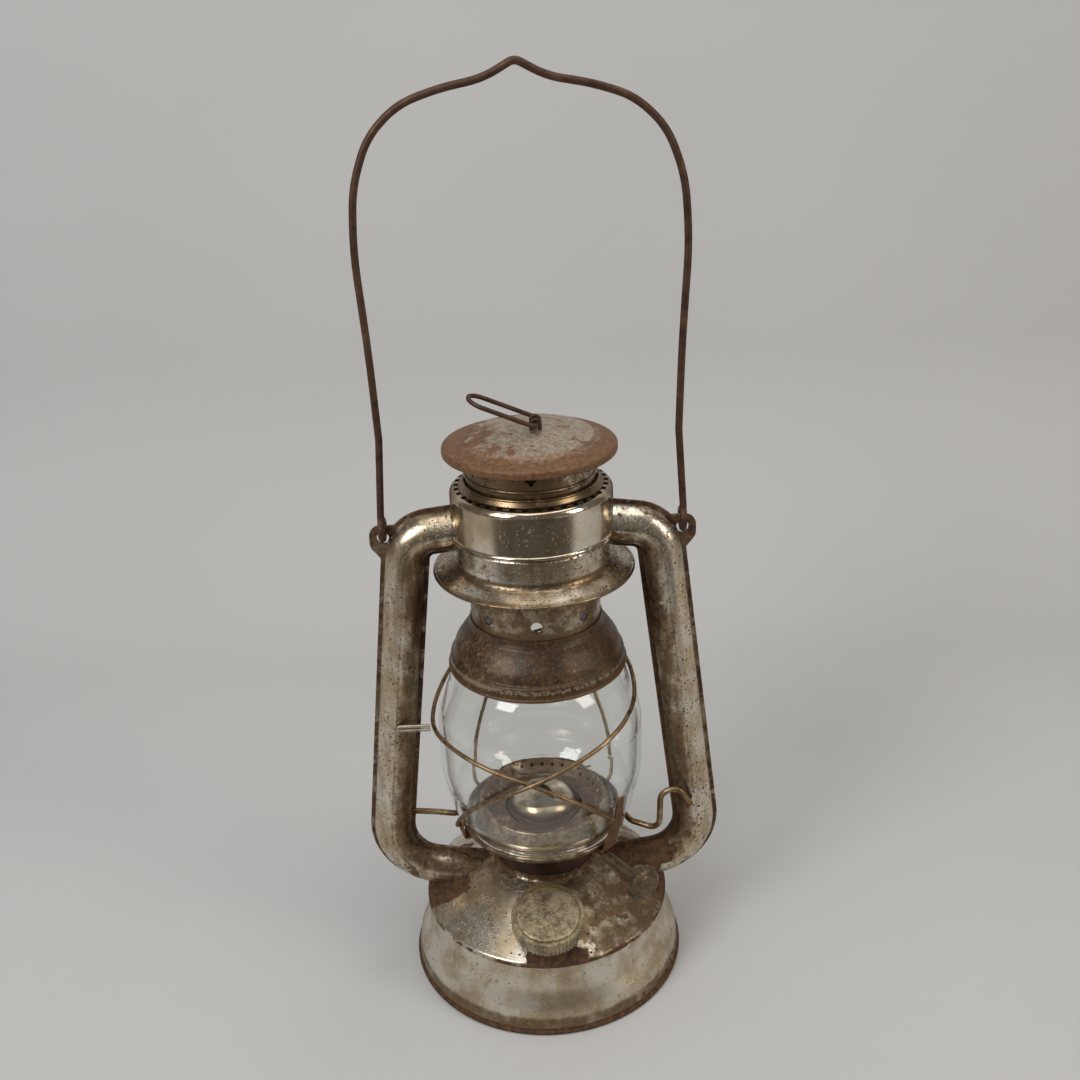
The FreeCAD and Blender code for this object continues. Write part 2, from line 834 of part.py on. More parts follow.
def space_above_hood():
    """Everything over the underside of the hood's top."""
    under = offset_chain(hood_chain(), sheet)[2:]
    high = 2 * hood_peak_z
    return turned(under + [(0, high, 0), (under[0][0], high, 0)])


# Ring on the hood

def ring_frame():
    """Along and across directions of the ring, leaning over to the left."""
    lean = radians(180 - ring_lean)
    return V(cos(lean), 0, sin(lean)), V(0, 1, 0)


def hood_ring():
    """Long wire ring, its pivot run held by the staple."""
    along, across = ring_frame()
    pivot = V(ring_pivot_x, 0, ring_pivot_z)
    half = ring_half_width
    tip = pivot + along * ring_length
    corners = [(pivot, 0),
               (pivot + across * half, 2.2),
               (tip + across * half, 5.9),
               (tip - across * half, 5.9),
               (pivot - across * half, 2.2),
               (pivot, 0)]
    return rod(corners, ring_wire)


def ring_staple():
    """Wire staple over the ring's pivot run, with its feet on the hood."""
    foot_z = hood_peak_z
    play = 0.12
    centre_radius = ring_wire / 2 + play + staple_wire / 2
    loops = []
    for y in (-2.6, 2.6):
        left = ring_pivot_x - centre_radius
        right = ring_pivot_x + centre_radius
        top = ring_pivot_z + centre_radius
        corners = [(V(left, y, foot_z), 0), (V(left, y, top), centre_radius * 0.98),
                   (V(right, y, top), centre_radius * 0.98), (V(right, y, foot_z), 0)]
        loops.append(rod(corners, staple_wire))
    return Part.makeCompound(loops)


# Globe carriage

def plate_edge():
    """Rolled edge of the globe plate."""
    return bead(plate_radius - plate_bead, plate_rim_z, plate_bead)


def globe_plate():
    """Dished plate that carries the globe, with its raised air ring."""
    chain = [(plate_radius - plate_bead, plate_rim_z, 0),
             (trough_radius, trough_z, 0.9),
             (riser_radius, trough_z, 0.8),
             (bowl_radius, bowl_top, 0.7),
             (bowl_radius - bowl_lip, bowl_top, 0.7),
             (bowl_floor_radius, bowl_floor_z, 1.0),
             (plate_hole, bowl_floor_z, 0)]
    plate = pressed(chain).fuse(plate_edge())
    mid_r = (bowl_radius - bowl_lip + bowl_floor_radius) / 2
    mid_z = (bowl_top + bowl_floor_z) / 2
    lean = atan2(bowl_top - bowl_floor_z, bowl_radius - bowl_lip - bowl_floor_radius)
    normal = V(-sin(lean), 0, cos(lean))
    hole = Part.makeCylinder(bowl_hole / 2, 5, V(mid_r, 0, mid_z) - normal * 2.5, normal)
    return plate.cut(turned_copies(hole, bowl_holes))


def glass_chain():
    """Outer surface of the globe from its foot to its mouth."""
    return [(glass_foot_radius - 0.4, trough_z + 0.02, 0),
            (glass_foot_radius + 0.2, trough_z + 2.6, 3),
            (glass_foot_radius + 5.8, trough_z + 9.4, 16),
            (glass_max_radius, glass_low_z, 42),
            (glass_max_radius, glass_high_z, 26),
            (glass_top_radius + 6.2, glass_top_z - 18.4, 14),
            (glass_top_radius, glass_top_z - 10.0, 7),
            (glass_top_radius, glass_top_z, 0)]


def globe_glass():
    return pressed(glass_chain(), glass_wall)


def glass_reach(height):
    """Outer radius of the globe at a height, before its bends are rounded."""
    chain = glass_chain()
    for (r1, z1, _), (r2, z2, _) in zip(chain, chain[1:]):
        if height <= z2:
            break
    return r1 + (height - z1) * (r2 - r1) / (z2 - z1)


def guard_point(lift, azimuth, height):
    """Corner of a guard wire's path, out by a lift and by what its chords would cut off."""
    seat = glass_reach(height) + guard_gap + guard_wire / 2
    return polar(seat / cos(radians(guard_step / 2)) + lift, azimuth, height)


def guard_foot(azimuth):
    """Upright end of a guard wire, just over the plate's rolled edge."""
    low = plate_rim_z + plate_bead + guard_foot_gap
    return [guard_point(0, azimuth, low + 2), polar(plate_radius - plate_bead, azimuth, low)]


def guard_wire_left():
    """Wire from the right catch across the front, round the left side and down the back."""
    stations = [(0.1, -48.8, 88.2), (0, -57, 94), (0, -70, 102.8), (0, -84, 110.2),
                (0, -98, 115.4), (0, -113, 118.6), (0, -129, 120.8), (0.2, -145, 122), (0.6, -160, 121.6),
                (1.0, -173, 121.8), (1.0, -183, 126.4), (0.6, -194, 132.4), (0.3, -207, 137.6), (0.2, -222, 141),
                (0.2, -238, 142.4), (0.1, -254, 141.8), (0, -270, 138.6), (0, -284, 132.4), (0, -295, 123.2),
                (0, -304, 111.8), (0, -312, 99.8), (0, -319.5, 88), (0, -325.5, 79)]
    return rod(eased([guard_point(*station) for station in stations] + guard_foot(-330)), guard_wire)


def guard_wire_right():
    """Wire from the left lug across the front, round the right side and down the back."""
    over = guard_wire + guard_seat
    stations = [(0.3, -154.4, 78.8), (0, -148, 84), (0, -136, 93), (0, -123.5, 102),
                (over * 0.7, -110, 109.6), (over, -98, 115), (over * 0.7, -86, 119.3),
                (0, -71, 123.4), (0, -55, 126.7), (0, -38, 129.8), (0, -22, 132.6), (0, -8, 135.8),
                (0, 6, 139.8), (0, 20, 142.6), (0, 36, 144), (0, 52, 144.4), (over * 0.6, 68, 144),
                (over, 80, 142.4), (over, 91, 139.4), (over * 0.6, 102, 133.4), (0, 112, 124.4),
                (0, 121, 113), (0, 129, 100.4), (0, 137, 88.4), (0, 144, 78.8)]
    points = [polar(plate_radius + 0.4, guard_lug_azimuth, guard_lug_eye),
              polar(plate_radius + 3.6, guard_lug_azimuth, guard_lug_eye + 0.4)]
    points += [guard_point(*station) for station in stations] + guard_foot(149)
    return rod(eased(points), guard_wire)


def rim_strap(azimuth, width, tip_width, chain):
    """Strap riveted under the plate rim and bent up outside it, narrowing to its tip."""
    face = loop_face([(r, z, radius) for r, z, radius in chain + offset_chain(chain, sheet + 0.2)[::-1]])
    strap = face.extrude(V(0, width, 0))
    strap.translate(V(0, -width / 2, 0))
    low = plate_rim_z
    top = chain[-1][1]
    for side in (-1, 1):
        edge = side * width / 2
        tip = side * tip_width / 2
        beyond = side * width
        wedge = Part.Face(Part.makePolygon([V(0, edge, low), V(0, beyond, low), V(0, beyond, top + 2),
                                            V(0, tip, top + 2), V(0, tip, top), V(0, edge, low)]))
        strap = strap.cut(wedge.extrude(V(2 * plate_radius, 0, 0)))
    strap.rotate(V(0, 0, 0), UP, azimuth)
    return strap


def strap_foot():
    """First corners of a strap: under the plate and out past its rolled edge."""
    low = trough_z - 2 * sheet - 0.2
    return [(riser_radius + 1.6, low, 0), (plate_radius + 1.6, low, 1.6)]


def plate_catch():
    """Tall tab at the right front that holds the guard wire and tips the globe frame."""
    low = strap_foot()[0][1]
    chain = strap_foot() + [(plate_radius + 3.2, low + 7.0, 8),
                            (glass_max_radius, low + 20.0, 14),
                            (glass_max_radius + 1.2, low + catch_height, 0)]
    return rim_strap(plate_catch_azimuth, catch_width, catch_tip, chain)


def guard_lug():
    """Short pierced tab at the left front that holds the other guard wire."""
    chain = strap_foot() + [(plate_radius + 2.2, guard_lug_eye + 2.6, 0)]
    lug = rim_strap(guard_lug_azimuth, lug_width, lug_tip, chain)
    eye = polar(plate_radius - 4, guard_lug_azimuth, guard_lug_eye)
    return lug.cut(Part.makeCylinder(guard_wire / 2 + 0.2, 12, eye, polar(1, guard_lug_azimuth, 0)))


def tube_guide():
    """Wire hairpin on the guard that slides along the front of the left tube."""
    front = tube_radius + guide_wire / 2 + 0.5
    inner_x = -(glass_max_radius + guard_gap + guard_wire + guide_wire / 2)
    outer_x = inner_x - guide_reach
    low = guide_height - guide_pitch / 2
    high = guide_height + guide_pitch / 2
    bend = guide_pitch / 2 - 0.02
    corners = [(V(inner_x, -front, high), 0), (V(outer_x, -front, high), bend),
               (V(outer_x, -front, low), bend), (V(inner_x, -front, low), 0)]
    return rod(corners, guide_wire)


# Lever

def lift_lever():
    """Wire crank from the left tube, round behind the drum and up to its thumb hook."""
    behind = drum_radius + lever_wire / 2 + lever_drum_gap
    under = trough_z - sheet - seat_gap - lever_wire / 2
    contact = V(lever_contact_x, 5.0, under + 0.05)
    hook_y = -(tube_radius + lever_wire / 2 + lever_tube_gap)
    hook_foot = lever_pivot_z - 7.4
    hook_top = hook_foot + hook_height
    corners = [(V(lever_pivot_x - 5, -3.6, lever_pivot_z + 0.6), 0),
               (V(lever_pivot_x - 5, 0, lever_pivot_z + 0.6), 1.9),
               (V(lever_pivot_x, 0, lever_pivot_z), 20),
               (V(-47, 0.6, lever_pivot_z - 1.4), 14),
               (V(-38, 3.5, under + 0.6), 10),
               (V(-25, 18, under - 1.6), 12),
               (V(0, behind + 0.8, under - 1.9), 22),
               (V(22.5, 19.5, under - 1.8), 10),
               (contact, 7),
               (V(hook_x - 12.4, -3.2, hook_foot), 6),
               (V(hook_x - 0.4, hook_y, hook_foot), 5.5),
               (V(hook_x, hook_y, hook_top), 5.3),
               (V(hook_x + hook_width, hook_y, hook_top - 0.2), 4.2),
               (V(hook_x + hook_width + 4.6, hook_y, hook_top - 8.0), 0)]
    return rod(corners, lever_wire)


# Bail

def bail():
    """Wire handle whose ends hook through the ears."""
    hook = bail_hook_radius
    eye = V(bail_eye_x, 0, bail_pivot_z)

    def on_hook(angle):
        return eye + V(0, cos(radians(angle)), sin(radians(angle))) * hook

    arcs = [Part.Arc(on_hook(45), on_hook(-45), on_hook(-112.5)).toShape(),
            Part.Arc(on_hook(-112.5), on_hook(-180), on_hook(-225)).toShape()]
    leave = on_hook(135)
    turn_centre = leave + V(0, -sin(radians(45)), cos(radians(45))) * hook
    straight = turn_centre + V(0, hook, 0)
    middle = turn_centre + V(0, cos(radians(22.5)), -sin(radians(22.5))) * hook
    leg_y = straight.y
    peak = V(0, leg_y, bail_pivot_z + bail_peak_rise)
    right = [straight] + [V(x, leg_y, bail_pivot_z + rise) for x, rise in bail_bow]
    left = [V(-point.x, point.y, point.z) for point in right[::-1]]
    corners = eased(right + [peak] + left)
    corners[1] = (right[1], bail_knee_bend)
    corners[-2] = (left[-2], bail_knee_bend)
    corners[len(right)] = (peak, bail_peak_bend)
    side_edges = arcs + [Part.Arc(leave, middle, straight).toShape()]
    other_edges = [edge.mirror(V(0, 0, 0), V(1, 0, 0)) for edge in side_edges]
    top_edges = path_edges(corners)
    path = Part.Wire(Part.__sortEdges__(side_edges + top_edges + other_edges))
    start = on_hook(45)
    circle = Part.Wire(Part.makeCircle(bail_wire / 2, start, V(0, sin(radians(45)), -cos(radians(45)))))
    return path.makePipeShell([circle], True, False)


def build():
    """Every piece by its node name."""
    top = crown_top()
    bell = crown_bell()
    halves = tube_halves([top, bell])
    bore = tube_bore_solid()
    both_bores = [bore, mirrored(bore)]
    left_halves = [mirrored(half).cut(lever_hole_tool()) for half in halves]
    every_half = halves + left_halves
    pieces = {
        "tank_shell": tank_shell(),
        "tank_bottom": tank_bottom(),
        "tank_top": tank_top(every_half + both_bores),
        "filler_neck": filler_neck(),
        "air_chamber": air_chamber(both_bores),
        "right_tube_front": halves[0],
        "right_tube_rear": halves[1],
        "left_tube_front": left_halves[0],
        "left_tube_rear": left_halves[1],
        "crown_top": top.cut(both_bores),
        "crown_bell": bell.cut(both_bores),
        "crown_sleeve": crown_sleeve(),
        "chimney_spring": chimney_spring(),
        "burner_collar": burner_collar(),
        "burner_plug": burner_plug(),
        "burner_basket": burner_basket(),
        "burner_cone": burner_cone(),
        "wick_tube": wick_tube(),
        "wheel_housing": wheel_housing(),
        "wick_shaft": wick_shaft(),
        "spur_wheel_inner": spur_wheel(-1),
        "spur_wheel_outer": spur_wheel(1),
        "wick_knob": wick_knob(),
        "wick": wick(),
        "filler_cap": filler_cap(),
        "cap_gasket": cap_gasket(),
        "chimney_tube": chimney_tube(),
        "globe_cap": globe_cap(),
        "hood": hood(),
        "ring_staple": ring_staple(),
        "hood_ring": hood_ring(),
        "globe_plate": globe_plate(),
        "globe_glass": globe_glass(),
        "guard_wire_left": guard_wire_left(),
        "guard_wire_right": guard_wire_right(),
        "plate_catch": plate_catch(),
        "guard_lug": guard_lug(),
        "tube_guide": tube_guide(),
        "lift_lever": lift_lever(),
        "bail": bail(),
    }
    return pieces


os.makedirs("parts", exist_ok=True)
for name, shape in build().items():
    shape.exportStep("parts/" + name + ".step")
    print(name, shape.isValid(), len(shape.Solids), round(shape.Volume, 1))
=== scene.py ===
"""Old tinned hurricane lantern with its rust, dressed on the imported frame.

Metres, +Z up. The filler cap faces -Y, towards the camera.
"""

from math import radians

import bpy
from mathutils import Euler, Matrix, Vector

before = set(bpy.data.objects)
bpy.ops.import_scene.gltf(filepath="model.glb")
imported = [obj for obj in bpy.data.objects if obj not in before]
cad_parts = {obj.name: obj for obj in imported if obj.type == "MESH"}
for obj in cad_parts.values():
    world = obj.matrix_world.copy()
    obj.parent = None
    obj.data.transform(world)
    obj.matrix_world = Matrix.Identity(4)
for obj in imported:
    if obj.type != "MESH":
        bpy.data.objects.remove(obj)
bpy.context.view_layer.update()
bpy.ops.object.select_all(action="DESELECT")

MM = 0.001

# Places on the lantern, in millimetres: heights, then distances from its upright axis

FOOT_RIM_Z = 2.8
WALL_DIRT_Z = 8.1
WALL_ROLL_Z = 11.0
WALL_TOP_Z = 30.5
DOME_SEAM_Z = 32.6
NECK_FOOT_Z = 49.0
CONE_SHOULDER_Z = 77.5
CAP_RIM_Z = 149.1
CAP_RING_Z = 151.2
FLUE_FOOT_Z = 171.5
BRIM_Z = 191.1
BELL_FOLD_Z = 194.6
CROWN_SEAM_Z = 206.2
CROWN_SEAM_DIRT_Z = 205.4
CROWN_TOP_Z = 224.5
HOOD_BAND_Z = 243.7

BOWL_RADIUS = 27.0
PLATE_EDGE_RADIUS = 34.6
CROWN_RECESS_RADIUS = 28.6
BRIM_EDGE_RADIUS = 39.5
HOOD_DISC_RADIUS = 26.0

# Centre line of the side tubes: the ends of the long run, its slopes and its bends

TUBE_TOP_X = 49.9
TUBE_TOP_Z = 204.8
TUBE_LOW_X = 68.9
TUBE_LOW_Z = 47.3
TUBE_SIDE_LEAN = 0.1206
TUBE_TOP_LEAN = 0.1228
TUBE_LOW_LEAN = 0.1584
TUBE_SIDE_COSINE = 0.993
TUBE_TOP_COSINE = 0.993
TUBE_LOW_COSINE = 0.988
TUBE_TOP_BEND = 12.0
TUBE_LOW_BEND = 22.3
TUBE_MIDDLE_Z = 126.5


# Shader arithmetic

class Signal:
    """Output of a shader node that takes part in Python arithmetic."""

    def __init__(self, finish, socket):
        self.finish = finish
        self.socket = socket

    def maths(self, operation, first, second=None):
        values = {0: first} if second is None else {0: first, 1: second}
        return self.finish.node("ShaderNodeMath", {"operation": operation}, values)

    def __add__(self, other):
        return self.maths("ADD", self, other)

    def __radd__(self, other):
        return self.maths("ADD", other, self)

    def __sub__(self, other):
        return self.maths("SUBTRACT", self, other)

    def __rsub__(self, other):
        return self.maths("SUBTRACT", other, self)

    def __mul__(self, other):
        return self.maths("MULTIPLY", self, other)

    def __rmul__(self, other):
        return self.maths("MULTIPLY", other, self)

    def __truediv__(self, other):
        return self.maths("DIVIDE", self, other)

    def lesser(self, other):
        return self.maths("MINIMUM", self, other)

    def greater(self, other):
        return self.maths("MAXIMUM", self, other)

    def root(self):
        return self.maths("SQRT", self)

    def size(self):
        return self.maths("ABSOLUTE", self)

    def rise(self, low, high):
        """0 below low and 1 above high, with a smooth rise; it falls where low is the larger."""
        flip = low > high
        ends = (high, low) if flip else (low, high)
        ramp = self.finish.node("ShaderNodeMapRange", {"interpolation_type": "SMOOTHSTEP"},
                                {"Value": self, "From Min": ends[0], "From Max": ends[1]})
        return 1 - ramp if flip else ramp

    def above(self, edge, blur):
        """1 over the edge and 0 under it, softened by the blur to each side."""
        return self.rise(edge - blur, edge + blur)

    def below(self, edge, blur):
        """1 under the edge and 0 over it, softened by the blur to each side."""
        return self.rise(edge + blur, edge - blur)

    def near(self, centre, outer, core):
        """1 close to the centre and 0 away from it; outer and core are squared distances."""
        offset = self - centre
        return (offset * offset).rise(outer, core)


class Finish:
    """Material of one finish, with its Principled shader and its patterns."""

    def __init__(self, name):
        self.material = bpy.data.materials.new(name)
        self.material.use_nodes = True
        self.tree = self.material.node_tree
        self.tree.nodes.clear()
        self.output = self.tree.nodes.new("ShaderNodeOutputMaterial")
        self.shader = self.tree.nodes.new("ShaderNodeBsdfPrincipled")
        self.tree.links.new(self.shader.outputs[0], self.output.inputs["Surface"])
        self.place = self.node("ShaderNodeTexCoord", {}, {}, "Object")
        axes = self.tree.nodes.new("ShaderNodeSeparateXYZ")
        self.tree.links.new(self.place.socket, axes.inputs[0])
        self.x, self.y, self.z = (Signal(self, axes.outputs[axis]) / MM for axis in range(3))

    def radius(self):
        """Millimetres from the lantern's upright axis."""
        return (self.x * self.x + self.y * self.y).root()

    def node(self, kind, settings, inputs, output=0):
        """New node with its settings, then the values or links of its sockets."""
        node = self.tree.nodes.new(kind)
        for key, value in settings.items():
            setattr(node, key, value)
        for key, value in inputs.items():
            self.feed(node.inputs[key], value)
        return Signal(self, node.outputs[output])

    def feed(self, socket, value):
        """Links a signal to a socket, or sets the socket's own value."""
        if isinstance(value, Signal):
            self.tree.links.new(value.socket, socket)
        elif isinstance(value, tuple) and len(value) == 3 and socket.type == "RGBA":
            socket.default_value = (*value, 1.0)
        else:
            socket.default_value = value

    def stretched(self, scale):
        """Object coordinates stretched by a factor along each axis."""
        return self.node("ShaderNodeMapping", {}, {"Vector": self.place, "Scale": scale})

    def noise(self, size, detail=4.0, roughness=0.55, place=None, distortion=0.0):
        """Noise whose features are about so many millimetres across."""
        return self.node("ShaderNodeTexNoise", {}, {
            "Vector": self.place if place is None else place, "Scale": 1.0 / (size * MM),
            "Detail": detail, "Roughness": roughness, "Distortion": distortion})

    def blotches(self, size, contrast):
        """Ragged light and dark patches on both sides of 0."""
        return (self.noise(size, 7, 0.72) - 0.5) * contrast

    def cells(self, size):
        """Distance to scattered points about so many millimetres apart."""
        return self.node("ShaderNodeTexVoronoi", {}, {
            "Vector": self.place, "Scale": 1.0 / (size * MM), "Randomness": 1.0}, "Distance")

    def blend(self, factor, first, second):
        """Colour that goes from first to second as the factor rises."""
        mix = self.tree.nodes.new("ShaderNodeMix")
        mix.data_type = "RGBA"
        self.feed(mix.inputs[0], factor)
        self.feed(mix.inputs[6], first)
        self.feed(mix.inputs[7], second)
        return Signal(self, mix.outputs[2])

    def bump(self, height, strength, depth):
        """Normal from a height field, with its depth in millimetres."""
        return self.node("ShaderNodeBump", {},
                         {"Strength": strength, "Distance": depth * MM, "Height": height})

    def set(self, **values):
        """Sets or links the Principled shader's sockets by their names."""
        for name, value in values.items():
            self.feed(self.shader.inputs[name.replace("_", " ")], value)


def wear(*nodes, finish):
    """Gives CAD nodes their finish."""
    for name in nodes:
        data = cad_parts[name].data
        data.materials.clear()
        data.materials.append(finish.material)


# Finishes

TIN = (0.66, 0.61, 0.52)
TIN_WARM = (0.56, 0.44, 0.28)
TIN_DULL = (0.33, 0.27, 0.19)
# Brown of grime, also used for painted shade and painted reflections
GRIME_AND_PAINTED_SHADE = (0.165, 0.105, 0.050)
RUST_DARK = (0.040, 0.019, 0.009)
RUST = (0.11, 0.048, 0.014)
RUST_LIGHT = (0.21, 0.100, 0.034)


def tinned(name, rust, speckle, warmth, gloss, streaks=0.3, rust_where=None, grime_and_painted_light_where=None):
    """Tin plate with golden tarnish, brown grime and painted light, small brown spots and rust
    blooms.

    rust, speckle, warmth and streaks say how much of each there is, and gloss is the
    clean tin's roughness. The masks add rust at certain places, and grime together with
    painted shade, painted highlights and painted reflections.
    """
    finish = Finish(name)
    tone = finish.noise(16, 5, 0.6)
    bloom = finish.noise(9, 8, 0.68, distortion=0.3)
    grain = finish.noise(1.3, 4, 0.65)
    run = finish.noise(3.2, 5, 0.6, place=finish.stretched((1.0, 1.0, 0.14)))
    dots = finish.cells(2.1)
    amount = bloom + (rust - 0.5) * 0.5
    dot_size = finish.noise(7, 3).rise(0.40, 0.72) * (0.32 * speckle)
    grime_and_painted_light = (finish.noise(6, 6, 0.65) - 0.5) * 0.9 + (run - 0.5) * streaks
    if rust_where is not None:
        here = rust_where(finish)
        amount = amount + here * 0.5
        dot_size = dot_size + here * 0.14
    if grime_and_painted_light_where is not None:
        grime_and_painted_light = grime_and_painted_light + grime_and_painted_light_where(finish)
    patch = amount.rise(0.60, 0.68)
    spots = (dot_size - dots).rise(-0.03, 0.05)
    pits = (grain + (speckle - 0.5) * 0.12 + bloom * 0.25).rise(0.74, 0.84)
    rusted = patch.greater(spots).greater(pits)
    tin = finish.blend(tone.rise(0.35, 0.65), TIN, TIN_WARM)
    tarnish = (run * streaks + tone * (1 - streaks) + (warmth - 0.5) * 0.4).rise(0.42, 0.66)
    tin = finish.blend(tarnish * 0.75, tin, TIN_DULL)
    # Grime and painted light from the masks pull the tin towards this brown
    tin = finish.blend(grime_and_painted_light.rise(0.05, 0.55) * 0.9, tin, GRIME_AND_PAINTED_SHADE)
    brown = finish.blend(finish.noise(2.2, 4).rise(0.35, 0.65), RUST_DARK, RUST)
    brown = finish.blend((bloom - 0.5).rise(0.05, 0.3) * 0.6, brown, RUST_LIGHT)
    dulled = tone.rise(0.3, 0.8) * 0.10 + grime_and_painted_light.rise(0.1, 0.7) * 0.14 + rusted * 0.45
    finish.set(Base_Color=finish.blend(rusted, tin, brown),
               Metallic=0.97 - rusted * 0.85,
               Roughness=dulled + gloss,
               Normal=finish.bump(rusted * 0.7 + grain * 0.14, 0.35, 0.25))
    return finish


def rusty(name, dark, middle, light=RUST_LIGHT, shine=0.0, size=6):
    """Brown rusted steel, from its dark to its light patches."""
    finish = Finish(name)
    tone = finish.noise(size, 7, 0.65)
    grain = finish.noise(0.9, 4, 0.6)
    brown = finish.blend(tone.rise(0.32, 0.52), dark, middle)
    finish.set(Base_Color=finish.blend(tone.rise(0.52, 0.74), brown, light),
               Metallic=0.25 + shine * 0.6,
               Roughness=(grain - 0.5) * 0.2 + (0.70 - shine * 0.34),
               Normal=finish.bump(grain, 0.4, 0.2))
    return finish


def plain(name, colour, metallic, roughness):
    """Even finish with a little grain."""
    finish = Finish(name)
    grain = finish.noise(1.2, 4)
    shade = tuple(part * 0.7 for part in colour)
    finish.set(Base_Color=finish.blend(grain.rise(0.3, 0.7), shade, colour),
               Metallic=metallic, Roughness=roughness, Normal=finish.bump(grain, 0.2, 0.1))
    return finish


def old_hood():
    """Dull mottled tin top with rust patches, and a brown rolled rim."""
    finish = Finish("rusted_hood")
    tone = finish.noise(8, 7, 0.66)
    fine = finish.noise(1.6, 5, 0.62)
    ragged = (finish.noise(5, 4) - 0.5) * 3.0
    rim = (finish.z + ragged).below(HOOD_BAND_Z, 0.6)
    groove = finish.radius().near(HOOD_DISC_RADIUS, 2.2, 0.3) * 0.7
    sides = finish.x.rise(5.0, -24.0) * 0.13 + finish.y.rise(-22.0, -33.0) * 0.06
    patch = (tone + sides - 0.03 + (fine - 0.5) * 0.25).rise(0.55, 0.61)
    rusted = rim.greater(patch).greater(groove)
    tin = finish.blend(fine.rise(0.35, 0.65), (0.29, 0.22, 0.15), (0.50, 0.42, 0.33))
    brown = finish.blend(fine.rise(0.3, 0.7), (0.095, 0.043, 0.017), (0.205, 0.100, 0.040))
    finish.set(Base_Color=finish.blend(rusted, tin, brown),
               Metallic=0.75 - rusted * 0.55,
               Roughness=rusted * 0.12 + 0.42 + (fine - 0.5) * 0.2,
               Normal=finish.bump(fine + rusted * 0.3, 0.35, 0.25))
    return finish


def old_globe_cap():
    """Dark brown spun cap with a worn ring over its rim."""
    finish = Finish("rusted_globe_cap")
    tone = finish.noise(10, 6, 0.64)
    fine = finish.noise(1.4, 5, 0.66)
    flecks = finish.cells(1.7)
    ring = finish.z.near(CAP_RING_Z, 1.6, 0.3)
    left = finish.x.rise(0.0, -34.0) * 0.07
    worn = (ring * 0.16 + fine * 0.7 + tone * 0.3 + left).rise(0.60, 0.70)
    worn = worn.greater((0.16 - flecks).rise(0.0, 0.06) * 0.7)
    rim = (finish.z + (tone - 0.5) * 3).below(CAP_RIM_Z, 0.5)
    mottle = (tone * 0.5 + fine * 0.5).rise(0.40, 0.60)
    brown = finish.blend(mottle, (0.034, 0.017, 0.007), (0.115, 0.059, 0.023))
    brown = finish.blend(rim * 0.7, brown, (0.105, 0.050, 0.018))
    finish.set(Base_Color=finish.blend(worn * 0.75, brown, (0.34, 0.26, 0.17)),
               Metallic=worn * 0.4 + 0.22,
               Roughness=(fine - 0.5) * 0.3 + 0.46,
               Normal=finish.bump(fine, 0.4, 0.25))
    return finish


def old_filler_cap():
    """Grey zinc gone olive and brown, with a golden painted highlight along its upper edge."""
    finish = Finish("old_zinc")
    tone = finish.noise(5, 6, 0.66)
    fine = finish.noise(1.1, 5, 0.62)
    up_the_face = finish.y * 0.97 + finish.z * 0.26
    mottle = (tone * 0.6 + fine * 0.4).rise(0.40, 0.60)
    zinc = finish.blend(mottle, (0.175, 0.135, 0.076), (0.42, 0.35, 0.225))
    # Painted highlight: golden along the upper edge
    zinc = finish.blend(up_the_face.rise(-21.5, -16.5) * 0.6, zinc, (0.36, 0.22, 0.07))
    finish.set(Base_Color=zinc, Metallic=0.72, Roughness=(tone - 0.5) * 0.3 + 0.40,
               Normal=finish.bump(fine + tone, 0.45, 0.3))
    return finish


def old_plate():
    """Brown and grey plate, darker inside its bowl, with a worn rolled edge."""
    finish = Finish("rusted_plate")
    tone = finish.noise(7, 6, 0.64)
    fine = finish.noise(1.5, 5, 0.64)
    radius = finish.radius()
    inner = radius.below(BOWL_RADIUS, 0.6)
    edge = radius.above(PLATE_EDGE_RADIUS, 0.4)
    grey = finish.blend(fine.rise(0.35, 0.65), (0.15, 0.110, 0.066), (0.36, 0.295, 0.205))
    brown = finish.blend(fine.rise(0.3, 0.7), (0.037, 0.020, 0.010), (0.14, 0.078, 0.036))
    rusted = (tone + edge * 0.10 + inner * 0.14 + (fine - 0.5) * 0.3).rise(0.52, 0.60)
    finish.set(Base_Color=finish.blend(rusted, grey, brown),
               Metallic=0.75 - rusted * 0.35,
               Roughness=rusted * 0.24 + 0.34,
               Normal=finish.bump(fine, 0.35, 0.2))
    return finish


def old_burner_cone():
    """Bright heat-stained top over a dark foot; the foot's darkness is painted shade."""
    finish = Finish("burner_brass")
    tone = finish.noise(5, 5, 0.6)
    # Painted shade: the foot below the shoulder is painted dark
    dark = (finish.z + (tone - 0.5) * 5).below(CONE_SHOULDER_Z, 2.0)
    bright = finish.blend(tone.rise(0.38, 0.62), (0.62, 0.55, 0.44), (0.33, 0.25, 0.16))
    finish.set(Base_Color=finish.blend(dark, bright, (0.06, 0.036, 0.020)),
               Metallic=0.92 - dark * 0.3, Roughness=dark * 0.25 + 0.30,
               Normal=finish.bump(tone, 0.2, 0.2))
    return finish


def glass():
    """Clear old glass that lets light through to what is inside."""
    finish = Finish("old_glass")
    finish.set(Base_Color=(0.97, 0.98, 0.97), Roughness=0.02, IOR=1.47)
    finish.shader.inputs["Transmission Weight"].default_value = 1.0
    clear = finish.tree.nodes.new("ShaderNodeBsdfTransparent")
    clear.inputs[0].default_value = (0.93, 0.94, 0.93, 1)
    mix = finish.tree.nodes.new("ShaderNodeMixShader")
    rays = finish.tree.nodes.new("ShaderNodeLightPath")
    finish.tree.links.new(rays.outputs["Is Shadow Ray"], mix.inputs[0])
    finish.tree.links.new(finish.shader.outputs[0], mix.inputs[1])
    finish.tree.links.new(clear.outputs[0], mix.inputs[2])
    finish.tree.links.new(mix.outputs[0], finish.output.inputs["Surface"])
    return finish


# Where rust and grime sit

